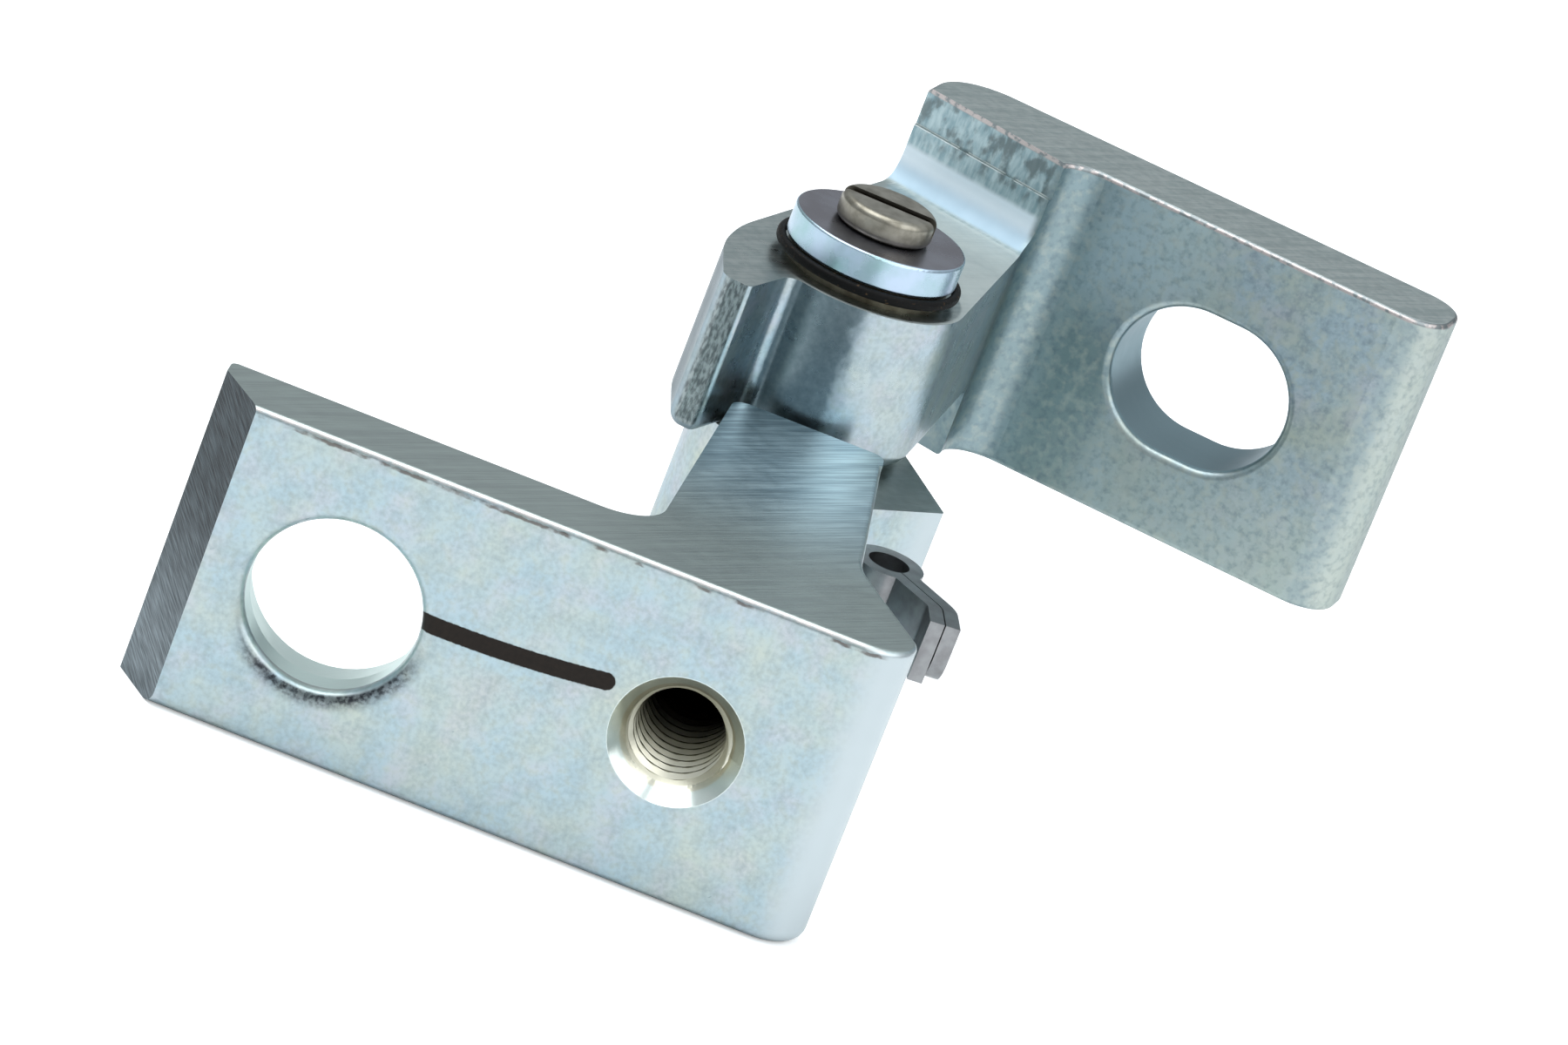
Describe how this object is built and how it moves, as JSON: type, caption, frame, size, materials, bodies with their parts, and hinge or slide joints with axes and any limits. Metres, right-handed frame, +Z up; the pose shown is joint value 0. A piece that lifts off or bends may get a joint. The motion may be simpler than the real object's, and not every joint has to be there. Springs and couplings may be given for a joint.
{
  "type": "car door hinge",
  "caption": "Pin hinge for a car door: a pillar leaf with plain and threaded fixing holes, and a door leaf with a slotted hole and stop nose.",
  "frame": {"origin": "on the pillar leaf's mounting face, midway between its two fixing holes", "axes": "+X along the pillar leaf's plate towards the threaded hole, +Y away from the mounting face towards the door leaf, +Z up along the hinge pin"},
  "size_m": [0.0852, 0.0822, 0.0423],
  "materials": {
    "pillar_zinc": "zinc plated, sawn and milled",
    "door_zinc": "zinc plated, sawn and milled",
    "pin_steel": "ground",
    "bush_bronze": "plain bearing bronze",
    "seal_rubber": "matt black",
    "washer_zinc": "zinc plated, turned",
    "screw_steel": "yellowed plating",
    "clip_steel": "bent spring strip"
  },
  "bodies": {
    "pillar": {"pillar_leaf": "pillar_zinc", "hinge_pin": "pin_steel", "retaining_screw": "screw_steel", "cap_washer": "washer_zinc", "seal_ring": "seal_rubber", "spring_clip": "clip_steel"},
    "door": {"door_leaf": "door_zinc", "upper_bush": "bush_bronze", "lower_bush": "bush_bronze"}
  },
  "joints": [
    {"name": "door_swing", "type": "hinge", "parent": "pillar", "child": "door", "pos_m": [0.01365, 0.049, 0], "axis": [0, 0, 1], "range_deg": [-72, 3]}
  ]
}
